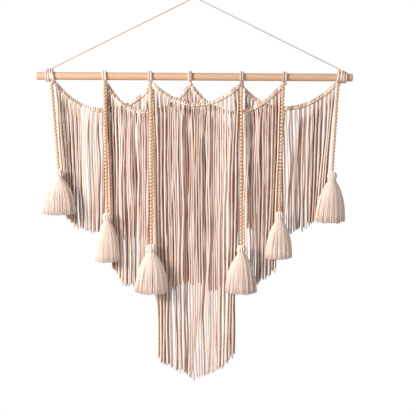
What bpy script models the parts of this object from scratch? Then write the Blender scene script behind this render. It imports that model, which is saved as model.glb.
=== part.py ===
"""Macrame wall hanging on a wooden rod, at its real size.

Five bows of cotton cord hang from a dowel in three layers. Each bow is a carrier cord
covered with lark's head knots, and every knot drops two fringe cords. Six strings of
wooden beads hang in front, each with a yarn tassel. One thin cord carries the rod.

The origin is the nail under the top of that cord. +Z is up and -Y faces the room.
All sizes here are in millimetres, and MM turns them into metres where a mesh is made.
"""

import math
from collections import namedtuple

import bmesh
import bpy
import numpy as np

MM = 0.001
GAP = 0.3                       # air between two pieces that touch on the real thing

# Rod: a 36 inch length of 7/8 inch dowel
ROD_LENGTH = 914.4
ROD_RADIUS = 11.1
ROD_SIDES = 24
ROD_ROUNDING = 2.5              # on its sawn ends
ROD_BELOW_NAIL = 225.5          # to the middle of the rod's axis
ROD_RIGHT_END_LOW = 5.2         # the rod hangs this much lower at its right end

# Hanging cord: two straight arms over a nail
HANGER_RADIUS = 2.0
HANGER_SLOPE = 0.4966           # fall of each arm
HANGER_BEND = 4.5               # half width of the bend over the nail
HANGER_POINTS = 40

# Rod ties: the carrier cords wrapped round the rod and knotted under it. The knot below
# and the crest on top are radii, and lie on one side of the wide end ties. The tie with
# no bead string lets its two cord tails hang, cut this far under the nail
TIE_SPOKES = 12
WRAP_RADIUS = 16.6              # outside of a wrap
WRAP_VALLEY = 1.8               # groove between two wraps

Tie = namedtuple("Tie", "x width wraps knot crest side tails")
TIES = (
    Tie(x=-417.8, width=30.0, wraps=4, knot=24.0, crest=21.7, side=1, tails=()),
    Tie(x=-260.9, width=13.0, wraps=2, knot=24.0, crest=WRAP_RADIUS, side=0, tails=()),
    Tie(x=-128.8, width=11.6, wraps=2, knot=36.0, crest=WRAP_RADIUS, side=0, tails=()),
    Tie(x=-13.3, width=11.6, wraps=2, knot=28.0, crest=WRAP_RADIUS, side=0, tails=(816, 823)),
    Tie(x=136.3, width=11.6, wraps=2, knot=31.0, crest=WRAP_RADIUS, side=0, tails=()),
    Tie(x=260.5, width=14.0, wraps=2, knot=22.5, crest=WRAP_RADIUS, side=0, tails=()),
    Tie(x=425.4, width=33.0, wraps=4, knot=23.5, crest=21.7, side=-1, tails=()),
)

# Swags: seats are how far the bar's ends lie under the rod's axis, bare is how much of
# the carrier shows between a tie and the nearest knot, and cuts are how far the fringe
# reaches under the nail at five even steps from left to right
BAR_VALLEY = 5.6                # bar radius between two knots, where it runs level
BAR_RIDGE = 6.9                 # bar radius at the middle of a knot, where it runs level
BAR_STEEP = 0.62                # least share of those that a steep stretch keeps
BAR_DEPTH = 0.76                # the bar is flatter from front to back
BARE_END = 3.4                  # radius of the carrier where it leaves the tie
BARE_RING = 0.4                 # share of the bare stretch before the bar swells
END_TURN = 16.0                 # from an end, how soon the bar's rings stand square to it
LAYER_STEP = 11.2               # from one layer of cords to the next
MIDDLE_LAYER = 1.0              # the middle layer's distance behind the rod's axis
END_PULL = 0.07                 # share of the swag over which it leaves the tie for its layer

Swag = namedtuple("Swag", "name ties seats bare sag fullness skew layer knots lean cuts")
SWAGS = (
    Swag("swag_outer_left", ties=(1, 3), seats=(17.7, 34.0), bare=(4.0, 2.5), sag=71.3,
         fullness=2.15, skew=0.02, layer=1, knots=22, lean=(28.0, -9.0),
         cuts=(626, 662, 681, 696, 691)),
    Swag("swag_inner_left", ties=(2, 4), seats=(16.5, 26.5), bare=(6.0, 2.5), sag=81.0,
         fullness=2.3, skew=0.03, layer=0, knots=20, lean=(16.0, -4.0),
         cuts=(765, 828, 843, 843, 817)),
    Swag("swag_centre", ties=(3, 5), seats=(18.0, 22.0), bare=(4.5, 2.5), sag=61.5,
         fullness=1.98, skew=0.0, layer=-1, knots=20, lean=(17.0, -17.0),
         cuts=(1037, 1068, 1098, 1073, 1031)),
    Swag("swag_inner_right", ties=(4, 6), seats=(22.5, 19.5), bare=(2.5, 5.0), sag=80.5,
         fullness=2.14, skew=0.03, layer=0, knots=21, lean=(9.0, -17.0),
         cuts=(822, 843, 848, 821, 785)),
    Swag("swag_outer_right", ties=(5, 7), seats=(28.5, 16.0), bare=(10.0, 5.0), sag=65.5,
         fullness=2.15, skew=0.03, layer=1, knots=21, lean=(9.0, -30.0),
         cuts=(666, 686, 681, 652, 605)),
)

# Fringe cords: three-sided, two from each knot, every second one a little further back
CORD_WIDTH = 5.4
CORD_DEPTH = 4.3
CORD_STAGGER = 2.6
CORD_NECK = 6.5                 # how soon under the bar a cord has left its knot
CORD_STEPS = (0.0, 0.3, 0.65, 1.0)
CORD_SWAY = 1.6                 # side to side
TAIL_SPREAD = 2.9               # a tie's two tails hang this far to each side of its middle
CORD_UNEVEN = 4.0               # spread of the cut ends

# Bead strings: 10 mm round beads
BEAD_RADIUS = 5.0
BEAD_WAIST = 2.7                # string and bead ends between two beads
BEAD_SIDES = 5
STRING_RADIUS = 2.2
STRING_NECK = 2.0               # bare string under the beads
STRING_FRONT = 12.0             # strings leave the ties this far in front of the rod's axis

# Tassels, in step with the bead strings
HEAD_RADIUS = 14.0
HEAD_HEIGHT = 25.0
NECK_RADIUS = 9.6
TASSEL_SIDES = 12
SKIRT_FLARE = 0.32              # half width = bottom half width * (share of length) ** flare
SKIRT_FRONT = 0.62              # depth to the front against half width
SKIRT_BACK = 12.0               # the back lies flat on the fringe
LOCK_FILL = 0.82                # share of the way round that the locks fill
LOCK_INNER = 0.76               # inner corner of a lock against its outer corners
LOCK_STEPS = (0.30, 0.65, 1.0)
LOCK_UNEVEN = 5.0

# neck is the bare string between a tie and its first bead
Tassel = namedtuple("Tassel", "tie top_x neck x top front width length beads lean")
TASSELS = (
    Tassel(tie=1, top_x=-412.9, neck=2, x=-391.0, top=494, front=14, width=98, length=105, beads=24, lean=0),
    Tassel(tie=2, top_x=-259.9, neck=2, x=-251.0, top=620, front=20, width=70, length=114, beads=36, lean=1),
    Tassel(tie=3, top_x=-126.0, neck=8, x=-123.1, top=709, front=30, width=95, length=116, beads=44, lean=0),
    Tassel(tie=5, top_x=135.2, neck=6, x=134.6, top=712, front=30, width=91, length=113, beads=44, lean=-2),
    Tassel(tie=6, top_x=256.0, neck=2, x=244.2, top=616, front=20, width=77, length=110, beads=35, lean=-3),
    Tassel(tie=7, top_x=413.5, neck=2, x=396.2, top=501, front=14, width=87, length=121, beads=24, lean=-7),
)


def rod_height(x):
    """Height of the rod's axis at x, under the nail."""
    return -ROD_BELOW_NAIL - x * ROD_RIGHT_END_LOW / ROD_LENGTH


def make_material(name, colour, roughness):
    """A plain matt material; nothing on this piece is metal."""
    material = bpy.data.materials.new(name)
    material.use_nodes = True
    shader = material.node_tree.nodes["Principled BSDF"]
    shader.inputs["Base Color"].default_value = (*colour, 1.0)
    shader.inputs["Roughness"].default_value = roughness
    shader.inputs["Metallic"].default_value = 0.0
    return material


def add_object(name, data, material):
    """Link a named object and give it its one material."""
    piece = bpy.data.objects.new(name, data)
    bpy.context.collection.objects.link(piece)
    data.materials.append(material)
    return piece


def finish_mesh(name, bm, material, sharp_angle):
    """Turn a closed bmesh into an object with outward, smooth faces."""
    bmesh.ops.recalc_face_normals(bm, faces=bm.faces)
    mesh = bpy.data.meshes.new(name)
    bm.to_mesh(mesh)
    bm.free()
    mesh.shade_smooth()
    mesh.set_sharp_from_angle(angle=math.radians(sharp_angle))
    return add_object(name, mesh, material)


def add_loops(bm, rings):
    """One closed loop of vertices for each ring of points."""
    return [[bm.verts.new(tuple(point)) for point in ring * MM] for ring in rings]


def bridge(bm, first, second, skip=()):
    """Quads between two loops of the same count, leaving out the sides in skip."""
    count = len(first)
    for side in range(count):
        if side not in skip:
            after = (side + 1) % count
            bm.faces.new((first[side], first[after], second[after], second[side]))


def upright_ring(centre, sizes, angles):
    """A level ring: sizes are its half width and its depths to the front and the back."""
    side, front, back = sizes
    depth = np.where(np.sin(angles) < 0, front, back)
    return np.column_stack((
        centre[0] + side * np.cos(angles),
        centre[1] + depth * np.sin(angles),
        np.full(len(angles), centre[2]),
    ))


def add_three_sided(bm, root, rings):
    """A three-sided strand on four root vertices, closed at its far end.

    The root runs left front, right front, right back, left back. The rings run front,
    right, left, so the root's front edge narrows to the strand's front corner.
    """
    loops = add_loops(bm, rings)
    front, right, left = loops[0]
    bm.faces.new((root[0], root[1], front))
    bm.faces.new((root[1], root[2], right, front))
    bm.faces.new((root[2], root[3], left, right))
    bm.faces.new((root[3], root[0], front, left))
    for upper, lower in zip(loops, loops[1:]):
        bridge(bm, upper, lower)
    bm.faces.new(loops[-1])


def make_rod(wood):
    """The dowel: a cylinder with rounded ends, laid along X and tipped to the right."""
    bm = bmesh.new()
    bmesh.ops.create_cone(bm, cap_ends=True, segments=ROD_SIDES, radius1=ROD_RADIUS * MM,
                          radius2=ROD_RADIUS * MM, depth=ROD_LENGTH * MM)
    rims = [edge for edge in bm.edges if abs(edge.verts[0].co.z - edge.verts[1].co.z) < MM]
    bmesh.ops.bevel(bm, geom=rims, offset=ROD_ROUNDING * MM, segments=2, affect="EDGES", profile=0.5)
    rod = finish_mesh("rod", bm, wood, 40)
    rod.location.z = -ROD_BELOW_NAIL * MM
    rod.rotation_euler.y = math.pi / 2 + math.asin(ROD_RIGHT_END_LOW / ROD_LENGTH)


def hanger_height(x):
    """Height of the hanging cord's centre line: it bends over the nail and falls straight."""
    fall = HANGER_SLOPE * HANGER_BEND + HANGER_RADIUS
    return fall - HANGER_SLOPE * np.sqrt(x * x + HANGER_BEND ** 2)


def hanger_end(tie):
    """Where the hanging cord, coming from the nail, is down on the grooved top of a tie."""
    angle = math.atan(HANGER_SLOPE)
    x = tie.x + np.linspace(tie.side * tie.width / 2, 0.0, 301)
    along, reach = tie_section(tie, math.pi / 2)
    top = rod_height(x) + np.interp(x - tie.x, along, reach)
    clear = hanger_height(x) - HANGER_RADIUS / math.cos(angle) - top
    landing = x[np.argmax(clear < 1.2 * GAP)]
    return landing - tie.side * HANGER_RADIUS * math.sin(angle)


def make_hanger(cotton):
    """The hanging cord: a round tube over the nail, from one end tie to the other."""
    left, right = hanger_end(TIES[0]), hanger_end(TIES[-1])
    spread = np.sinh(np.linspace(-3.0, 3.0, HANGER_POINTS)) / math.sinh(3.0)
    x = np.where(spread < 0, -left, right) * spread
    z = hanger_height(x)
    curve = bpy.data.curves.new("hanger_cord", "CURVE")
    curve.dimensions = "3D"
    curve.bevel_depth = HANGER_RADIUS * MM
    curve.bevel_resolution = 2
    curve.use_fill_caps = True
    spline = curve.splines.new("POLY")
    spline.points.add(len(x) - 1)
    for point, px, pz in zip(spline.points, x, z):
        point.co = (px * MM, 0.0, pz * MM, 1.0)
    add_object("hanger_cord", curve, cotton)


def tie_swell(tie, angle, along):
    """How far the knot below and the crest above stand out of the wraps at an angle.

    On an end tie they fade from its middle to the side that is away from the knot.
    """
    below = max(0.0, -math.sin(angle)) ** 4 * (tie.knot - WRAP_RADIUS)
    above = max(0.0, math.sin(angle)) ** 4 * (tie.crest - WRAP_RADIUS)
    fade = np.clip(1 + tie.side * along / (tie.width / 2), 0, 1) if tie.side else np.ones_like(along)
    return (below + above) * fade


def tie_section(tie, angle):
    """Places along the rod and the radii there of a tie's grooved outside at an angle."""
    ridges = 2 * tie.wraps + 1
    along = np.linspace(-tie.width / 2, tie.width / 2, ridges)
    outer = WRAP_RADIUS - WRAP_VALLEY * (np.arange(ridges) % 2 == 0)
    return along, outer + tie_swell(tie, angle, along)


def tie_underside(tie, along, y):
    """Height of a tie's faceted underside at a place, against the rod's axis."""
    angles = [-math.pi / 2 - 2 * math.pi * step / TIE_SPOKES for step in range(3)]
    reach = [WRAP_RADIUS + float(tie_swell(tie, angle, np.array(along))) for angle in angles]
    spokes_y = [r * math.cos(angle) for r, angle in zip(reach, angles)]
    spokes_z = [r * math.sin(angle) for r, angle in zip(reach, angles)]
    return np.interp(-abs(y), spokes_y[::-1], spokes_z[::-1])


def strand_ring(x, y, z, width, depth):
    """A level three-sided ring: its front corner, then its right and its left one."""
    return np.array((
        (x, y - depth * 2 / 3, z),
        (x + width / 2, y + depth / 3, z),
        (x - width / 2, y + depth / 3, z),
    ))


def tail_rings(tie, side, cut, root):
    """Rings of a tie's left (-1) or right (1) tail: straight down to its cut end."""
    x = tie.x + side * TAIL_SPREAD
    y = MIDDLE_LAYER + side * CORD_STAGGER
    heights = np.linspace(root[2] - CORD_NECK, -cut, len(CORD_STEPS))
    return [strand_ring(x, y, height, CORD_WIDTH, CORD_DEPTH) for height in heights]


def make_tie(number, tie, cotton):
    """Wraps round the rod as one grooved ring that swells to a knot below.

    Tails grow from the outermost faces of the ring, just behind its lowest edge.
    """
    half = tie.width / 2
    inner = (ROD_RADIUS + GAP) / math.cos(math.pi / TIE_SPOKES)
    bm = bmesh.new()
    loops = []
    for spoke in range(TIE_SPOKES):
        angle = 2 * math.pi * spoke / TIE_SPOKES
        along, reach = tie_section(tie, angle)
        reach = np.append(reach, (inner, inner))
        section = np.column_stack((
            tie.x + np.append(along, (half, -half)),
            reach * math.cos(angle),
            rod_height(tie.x) + reach * math.sin(angle),
        ))
        loops += add_loops(bm, [section])
    tail_faces = dict(zip((0, 2 * tie.wraps - 1), tie.tails))
    lowest = TIE_SPOKES * 3 // 4
    for spoke, first in enumerate(loops):
        second = loops[(spoke + 1) % TIE_SPOKES]
        bridge(bm, first, second, skip=tail_faces if spoke == lowest else ())
    for face, cut in tail_faces.items():
        front, back = loops[lowest], loops[lowest + 1]
        root = (front[face], front[face + 1], back[face + 1], back[face])
        middle = np.mean([vertex.co[:] for vertex in root], axis=0) / MM
        side = -1 if face == 0 else 1
        add_three_sided(bm, root, tail_rings(tie, side, cut, middle))
    finish_mesh(f"rod_tie_{number}", bm, cotton, 50)


def swag_line(swag):
    """The carrier cord's centre line in fine steps: arc length, points and tangents.

    It sags by sag * (1 - |2u - 1| ** fullness), with u from 0 at the left end to 1, and
    leaves the rod's plane for its own layer over a smooth step at each end.
    """
    left, right = (TIES[number - 1] for number in swag.ties)
    u = np.linspace(0.0, 1.0, 801)
    x = np.interp(u, (0, 1), (left.x + left.width / 2 + GAP, right.x - right.width / 2 - GAP))
    ends = (rod_height(left.x) - swag.seats[0], rod_height(right.x) - swag.seats[1])
    bow = 1 - np.abs(2 * (u + swag.skew * 4 * u * (1 - u)) - 1) ** swag.fullness
    z = np.interp(u, (0, 1), ends) - swag.sag * bow
    rise = np.clip(np.minimum(u, 1 - u) / END_PULL, 0, 1)
    y = (MIDDLE_LAYER + LAYER_STEP * swag.layer) * (0.4 + 0.6 * rise * rise * (3 - 2 * rise))
    points = np.column_stack((x, y, z))
    steps = np.linalg.norm(np.diff(points, axis=0), axis=1)
    arc = np.append(0.0, np.cumsum(steps))
    tangents = np.gradient(points, arc, axis=0)
    return arc, points, tangents


def along_line(arc, values, stations):
    """Rows of values read off at the stations along the arc."""
    return np.column_stack([np.interp(stations, arc, column) for column in values.T])


def bar_rings(swag):
    """Six-sided rings along the knotted bar, with a flat underside for the cords.

    The radius is least between knots and most at each knot's middle. Knots sit upright on
    the cord, so where it falls steeply the bar is thinner by the fall's cosine. Rings stand
    square to the cord, but turn upright at the ends, where they meet a tie's side.
    """
    arc, points, tangents = swag_line(swag)
    whole = arc[-1]
    knotted = np.linspace(swag.bare[0], whole - swag.bare[1], 2 * swag.knots + 1)
    before = (0.0, BARE_RING * swag.bare[0])
    behind = (whole - BARE_RING * swag.bare[1], whole)
    stations = np.concatenate((before, knotted, behind))
    centres = along_line(arc, points, stations)
    direction = along_line(arc, tangents, stations)
    radii = np.where(np.arange(len(knotted)) % 2, BAR_RIDGE, BAR_VALLEY)
    radii = radii * np.maximum(direction[2:-2, 0], BAR_STEEP)
    radii = np.concatenate(((BARE_END, BARE_END), radii, (BARE_END, BARE_END)))
    square = np.clip(np.minimum(stations, whole - stations) / END_TURN, 0, 1)
    normal = np.column_stack((-direction[:, 2] * square, np.zeros(len(stations)), direction[:, 0]))
    normal /= np.linalg.norm(normal, axis=1)[:, None]
    corners = np.radians((-120, -60, 0, 60, 120, 180))
    offset = normal[:, None, :] * np.sin(corners)[None, :, None]
    offset[:, :, 1] += BAR_DEPTH * np.cos(corners)
    return centres[:, None, :] + radii[:, None, None] * offset


def fringe_rings(swag, number, total, root, rng):
    """Rings of one fringe cord, from its root on the bar to its cut end."""
    share = (number + 0.5) / total
    lean = swag.lean[0] * max(0.0, 1 - 2 * share) ** 1.15 + swag.lean[1] * max(0.0, 2 * share - 1) ** 1.15
    uneven = rng.uniform(-CORD_UNEVEN, CORD_UNEVEN)
    end = -np.interp(share, np.linspace(0, 1, len(swag.cuts)), swag.cuts) + uneven
    side = -1 if number % 2 == 0 else 1
    phase = root[0] / 70 + 1.9 * side + swag.layer
    start = root[2] - CORD_NECK
    rings = []
    for step in CORD_STEPS:
        settle = min(1.0, step / CORD_STEPS[1])
        width = CORD_WIDTH * (0.8 + 0.2 * settle)
        depth = CORD_DEPTH * (0.8 + 0.2 * settle)
        layer = MIDDLE_LAYER + LAYER_STEP * swag.layer
        x = root[0] + lean * step + CORD_SWAY * step * math.sin(4.5 * step + phase)
        y = layer + side * CORD_STAGGER * (0.6 + 0.4 * settle)
        z = start + (end - start) * step
        rings.append(strand_ring(x, y, z, width, depth))
    return rings


def make_swag(swag, cotton):
    """A knotted bar with its fringe, grown as one closed body."""
    rng = np.random.default_rng(11 + swag.ties[0])
    bm = bmesh.new()
    loops = add_loops(bm, bar_rings(swag))
    total = 2 * swag.knots
    first_cord = 2
    for index, (one, two) in enumerate(zip(loops, loops[1:])):
        number = index - first_cord
        if not 0 <= number < total:
            bridge(bm, one, two)
            continue
        bridge(bm, one, two, skip=(0,))
        root = (one[0], two[0], two[1], one[1])
        middle = np.mean([vertex.co[:] for vertex in root], axis=0) / MM
        add_three_sided(bm, root, fringe_rings(swag, number, total, middle, rng))
    bm.faces.new(loops[0])
    bm.faces.new(loops[-1])
    finish_mesh(swag.name, bm, cotton, 60)


def make_bead_string(number, tassel, wood):
    """A string of round beads as one body: a belly and a waist for each bead."""
    tie = TIES[tassel.tie - 1]
    back_edge = STRING_RADIUS - STRING_FRONT
    top = rod_height(tie.x) + tie_underside(tie, tassel.top_x - tie.x, back_edge) - GAP
    bottom = -tassel.top + GAP
    bead_rows = np.linspace(top - tassel.neck, bottom + STRING_NECK, 2 * tassel.beads + 1)
    heights = np.concatenate(((top,), bead_rows, (bottom,)))
    radii = np.where(np.arange(len(bead_rows)) % 2, BEAD_RADIUS, BEAD_WAIST)
    radii = np.concatenate(((STRING_RADIUS,), radii, (STRING_RADIUS,)))
    angles = np.radians(-90 + 360 / BEAD_SIDES * np.arange(BEAD_SIDES))
    bm = bmesh.new()
    rings = []
    for height, radius in zip(heights, radii):
        share = (top - height) / (top - bottom)
        x = tassel.top_x + (tassel.x - tassel.top_x) * share
        y = -STRING_FRONT + (STRING_FRONT - tassel.front) * share
        rings.append(upright_ring((x, y, height), (radius, radius, radius), angles))
    loops = add_loops(bm, rings)
    for upper, lower in zip(loops, loops[1:]):
        bridge(bm, upper, lower)
    bm.faces.new(loops[0])
    bm.faces.new(loops[-1])
    finish_mesh(f"bead_string_{number}", bm, wood, 80)


def skirt_sizes(tassel, share):
    """Half width and depths of a tassel's skirt at a share of its length."""
    side = tassel.width / 2 * share ** SKIRT_FLARE
    return np.array((side, side * SKIRT_FRONT, min(side, SKIRT_BACK)))


def make_tassel(number, tassel, cotton):
    """A round knotted head and a bell of three-sided locks, flat at the back."""
    rng = np.random.default_rng(40 + number)
    angles = 2 * math.pi * np.arange(TASSEL_SIDES) / TASSEL_SIDES
    middle = np.array((tassel.x, -tassel.front, -tassel.top))
    profile = ((0.0, 0.32), (0.12, 0.76), (0.42, 1.0), (0.72, 0.93))
    rings = []
    for share, width in profile:
        round_sizes = np.full(3, HEAD_RADIUS * width)
        rings.append(upright_ring(middle - (0, 0, HEAD_HEIGHT * share), round_sizes, angles))
    neck = middle - (0, 0, HEAD_HEIGHT)
    shoulder = neck - (0, 0, 0.07 * tassel.length)
    rings.append(upright_ring(neck, np.full(3, NECK_RADIUS), angles))
    rings.append(upright_ring(shoulder, skirt_sizes(tassel, 0.07), angles))
    rings.append(upright_ring(shoulder - (0, 0, 1), 0.5 * skirt_sizes(tassel, 0.07), angles))
    bm = bmesh.new()
    loops = add_loops(bm, rings)
    for upper, lower in zip(loops[:-1], loops[1:-1]):
        bridge(bm, upper, lower)
    bm.faces.new(loops[0])
    bm.faces.new(loops[-1])
    outer, inner = loops[-2:]
    half_angle = LOCK_FILL * math.pi / TASSEL_SIDES
    for side in range(TASSEL_SIDES):
        after = (side + 1) % TASSEL_SIDES
        turn = angles[side] + math.pi / TASSEL_SIDES
        uneven = rng.uniform(-LOCK_UNEVEN, LOCK_UNEVEN)
        lock = []
        for share in LOCK_STEPS:
            drop = share * tassel.length + uneven * share
            centre = neck + (tassel.lean * share, 0, -drop)
            sizes = skirt_sizes(tassel, share)
            edges = upright_ring(centre, sizes, np.array((turn - half_angle, turn + half_angle)))
            inside = upright_ring(centre, LOCK_INNER * sizes, np.array((turn,)))
            lock.append(np.vstack((inside, edges)))
        root = (inner[after], inner[side], outer[side], outer[after])
        add_three_sided(bm, root, lock)
    finish_mesh(f"tassel_{number}", bm, cotton, 60)


def main():
    """Clear the scene and build every piece."""
    for leftover in list(bpy.data.objects):
        bpy.data.objects.remove(leftover, do_unlink=True)
    beech = make_material("beech dowel", (0.72, 0.45, 0.28), 0.55)
    bead_wood = make_material("turned beads", (0.80, 0.50, 0.27), 0.45)
    cord_cotton = make_material("cotton cord", (0.78, 0.63, 0.52), 0.9)
    yarn_cotton = make_material("cotton yarn", (0.80, 0.62, 0.53), 0.95)
    make_rod(beech)
    make_hanger(cord_cotton)
    for number, tie in enumerate(TIES, start=1):
        make_tie(number, tie, cord_cotton)
    for swag in SWAGS:
        make_swag(swag, cord_cotton)
    for number, tassel in enumerate(TASSELS, start=1):
        make_bead_string(number, tassel, bead_wood)
        make_tassel(number, tassel, yarn_cotton)


main()
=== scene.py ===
# %% [markdown]
# # A macrame wall hanging on a wooden rod
# The real piece hangs from one nail: a thin cord carries a beech dowel, and five bows of
# cotton cord with long fringe hang from the dowel in three layers. Six strings of wooden
# beads with yarn tassels hang in front.
#
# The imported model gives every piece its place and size. This script makes the finer
# surface of each one: twisted cord, real knots, turned beads and loose yarn. Everything is
# worked out in millimetres, with the nail at the origin, +Z up and -Y towards the room.

# %% Load the fixed frame
import math
from collections import namedtuple

import bpy
import numpy as np
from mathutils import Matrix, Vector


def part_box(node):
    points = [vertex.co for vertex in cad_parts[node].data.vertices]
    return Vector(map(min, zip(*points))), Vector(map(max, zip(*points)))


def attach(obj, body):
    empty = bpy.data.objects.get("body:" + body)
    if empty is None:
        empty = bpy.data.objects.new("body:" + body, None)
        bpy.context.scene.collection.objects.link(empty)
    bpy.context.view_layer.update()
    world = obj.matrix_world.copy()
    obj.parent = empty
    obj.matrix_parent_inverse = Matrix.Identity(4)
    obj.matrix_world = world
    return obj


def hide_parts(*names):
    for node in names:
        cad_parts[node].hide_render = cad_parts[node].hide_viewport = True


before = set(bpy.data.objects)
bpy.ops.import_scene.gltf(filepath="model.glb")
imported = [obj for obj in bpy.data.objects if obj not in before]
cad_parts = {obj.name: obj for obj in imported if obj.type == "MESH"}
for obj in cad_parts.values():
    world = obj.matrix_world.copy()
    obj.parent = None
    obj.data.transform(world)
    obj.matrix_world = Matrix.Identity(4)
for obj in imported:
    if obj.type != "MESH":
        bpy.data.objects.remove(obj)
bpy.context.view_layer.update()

MM = 0.001

# %% [markdown]
# ## Camera and light
# The photo was taken straight on, so the camera stands level in front of the middle of
# the picture. Three metres away is far enough that near and far cords keep their sizes,
# as they do in the photo. Cord relief only shows when light rakes across it. A sun lamp
# would do that, but with hard shadows, so a broad soft lamp stands well to the left, where
# the photo's light comes from. A weaker one and pale surroundings fill the shadows.

# %% Camera
PICTURE_PIXELS = 416
PIXEL = 2.894                   # mm on the rod's plane for each pixel of the photo
NAIL_PIXEL = (194.6, -1.2)      # where the nail would be in the photo
CAMERA_DISTANCE = 3000.0

picture_middle = (
    (PICTURE_PIXELS / 2 - NAIL_PIXEL[0]) * PIXEL,
    (NAIL_PIXEL[1] - PICTURE_PIXELS / 2) * PIXEL,
)
camera_data = bpy.data.cameras.new("camera")
camera_data.angle = 2 * math.atan(PICTURE_PIXELS * PIXEL / 2 / CAMERA_DISTANCE)
camera = bpy.data.objects.new("camera", camera_data)
camera.location = (picture_middle[0] * MM, -CAMERA_DISTANCE * MM, picture_middle[1] * MM)
camera.rotation_euler = (math.pi / 2, 0, 0)
bpy.context.scene.collection.objects.link(camera)
bpy.context.scene.camera = camera
print(f"camera at {tuple(round(c, 3) for c in camera.location)} m, "
      f"lens angle {math.degrees(camera_data.angle):.1f} degrees")

# %% Lamps
# places and sizes in metres
Lamp = namedtuple("Lamp", "name place aim size watts colour")
LAMPS = (
    Lamp("side_light", (-2.4, -1.7, 0.2), (0.0, 0.0, -0.45), 0.95, 129, (1.0, 0.95, 0.9)),
    Lamp("room_light", (1.7, -2.2, 0.9), (0.0, 0.0, -0.5), 2.0, 26, (1.0, 0.97, 0.94)),
)


def add_lamp(lamp):
    """A square soft lamp that faces the point it is aimed at."""
    data = bpy.data.lights.new(lamp.name, "AREA")
    data.size = lamp.size
    data.energy = lamp.watts
    data.color = lamp.colour
    light = bpy.data.objects.new(lamp.name, data)
    place = np.array(lamp.place)
    away = place - np.array(lamp.aim)
    flat = math.hypot(away[0], away[1])
    light.location = lamp.place
    light.rotation_euler = (math.atan2(flat, away[2]), 0, math.atan2(away[0], -away[1]))
    bpy.context.scene.collection.objects.link(light)


for lamp in LAMPS:
    add_lamp(lamp)
print("lamps:", ", ".join(f"{lamp.name} {lamp.watts} W" for lamp in LAMPS))

# %% Surroundings
# The object is lit by a weak warm glow from all round, and the camera sees plain white
# behind it, as in the photo.
GLOW_COLOUR = (1.0, 0.96, 0.92, 1.0)
GLOW_STRENGTH = 0.17

world = bpy.data.worlds.new("pale surroundings")
bpy.context.scene.world = world
world.use_nodes = True
surroundings = world.node_tree.nodes["Background"]
surroundings.inputs["Color"].default_value = GLOW_COLOUR
surroundings.inputs["Strength"].default_value = GLOW_STRENGTH
backdrop = world.node_tree.nodes.new("ShaderNodeBackground")
backdrop.inputs["Color"].default_value = (1.0, 1.0, 1.0, 1.0)
seen = world.node_tree.nodes.new("ShaderNodeLightPath")
mixed = world.node_tree.nodes.new("ShaderNodeMixShader")
links = world.node_tree.links
links.new(seen.outputs["Is Camera Ray"], mixed.inputs["Fac"])
links.new(surroundings.outputs["Background"], mixed.inputs[1])
links.new(backdrop.outputs["Background"], mixed.inputs[2])
links.new(mixed.outputs["Shader"], world.node_tree.nodes["World Output"].inputs["Surface"])
bpy.context.scene.view_settings.view_transform = "Standard"
print("surroundings:", world.name, "at strength", GLOW_STRENGTH)

# %% [markdown]
# ## Three small helpers
# A colour read off a screen is in sRGB, while shaders add up light in linear numbers, so
# one function turns a hex value to linear. One function adds a shader node with its
# settings and links, and one puts whole numpy arrays into a mesh at once, which is far
# quicker than adding points one by one.

# %% Colours and nodes


def linear(hex_colour):
    """sRGB hex to linear: c / 12.92 when dark, else ((c + 0.055) / 1.055) ** 2.4."""
    c = np.array([int(hex_colour[k:k + 2], 16) for k in (1, 3, 5)]) / 255
    return (*np.where(c <= 0.04045, c / 12.92, ((c + 0.055) / 1.055) ** 2.4), 1.0)


def node(tree, kind, inputs=None, **settings):
    """Add one node. An input's value is a constant or another node's output socket."""
    new = tree.nodes.new("ShaderNode" + kind)
    for name, value in settings.items():
        setattr(new, name, value)
    for name, value in (inputs or {}).items():
        if isinstance(value, bpy.types.NodeSocket):
            tree.links.new(value, new.inputs[name])
        else:
            new.inputs[name].default_value = value
    return new


print("mid grey #808080 is", round(float(linear("#808080")[0]), 3), "in linear numbers")

# %% Meshes and pieces


def build_mesh(name, points, face_groups, uv=None, tint=None):
    """A smooth mesh from points in mm and arrays of faces, one face for each row.

    uv holds one pair in mm for each corner of each face, in the same order, and tint one
    number from 0 to 1 for each point.
    """
    corners = np.concatenate([group.ravel() for group in face_groups])
    sizes = np.concatenate([np.full(len(group), group.shape[1]) for group in face_groups])
    mesh = bpy.data.meshes.new(name)
    mesh.vertices.add(len(points))
    mesh.loops.add(len(corners))
    mesh.polygons.add(len(sizes))
    mesh.vertices.foreach_set("co", (points * MM).astype(np.float32).ravel())
    mesh.loops.foreach_set("vertex_index", corners.astype(np.int32))
    mesh.polygons.foreach_set("loop_start", (np.cumsum(sizes) - sizes).astype(np.int32))
    mesh.update(calc_edges=True)
    if uv is not None:
        layer = mesh.uv_layers.new(name="surface")
        layer.uv.foreach_set("vector", (uv * MM).astype(np.float32).ravel())
    if tint is not None:
        attribute = mesh.attributes.new("tint", "FLOAT", "POINT")
        attribute.data.foreach_set("value", tint.astype(np.float32))
    mesh.validate()
    mesh.shade_smooth()
    return mesh


def add_piece(mesh, material, replaced):
    """Show a finished mesh as a piece that hangs with the rest and stands for its solid."""
    mesh.materials.append(material)
    piece = bpy.data.objects.new(mesh.name, mesh)
    bpy.context.scene.collection.objects.link(piece)
    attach(piece, "root")
    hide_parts(*replaced)
    print(f"{piece.name}: {sum(len(p.vertices) - 2 for p in mesh.polygons)} triangles")
    return piece


square = build_mesh("square", np.array(((0, 0, 0), (10, 0, 0), (10, 10, 0), (0, 10, 0))),
                    [np.arange(4)[None, :]])
print(f"a 10 mm square covers {square.polygons[0].area / MM ** 2:.0f} square mm")
bpy.data.meshes.remove(square)

# %% [markdown]
# ## The floor
# The piece hangs high above the floor, which is only a plain pale surface far below it. A
# square plane would do, but its corners would show in the side views, so it is a disc.

# %% A pale disc
FLOOR_BELOW_NAIL = 1750.0
FLOOR_RADIUS = 2000.0
FLOOR_SIDES = 96

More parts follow.
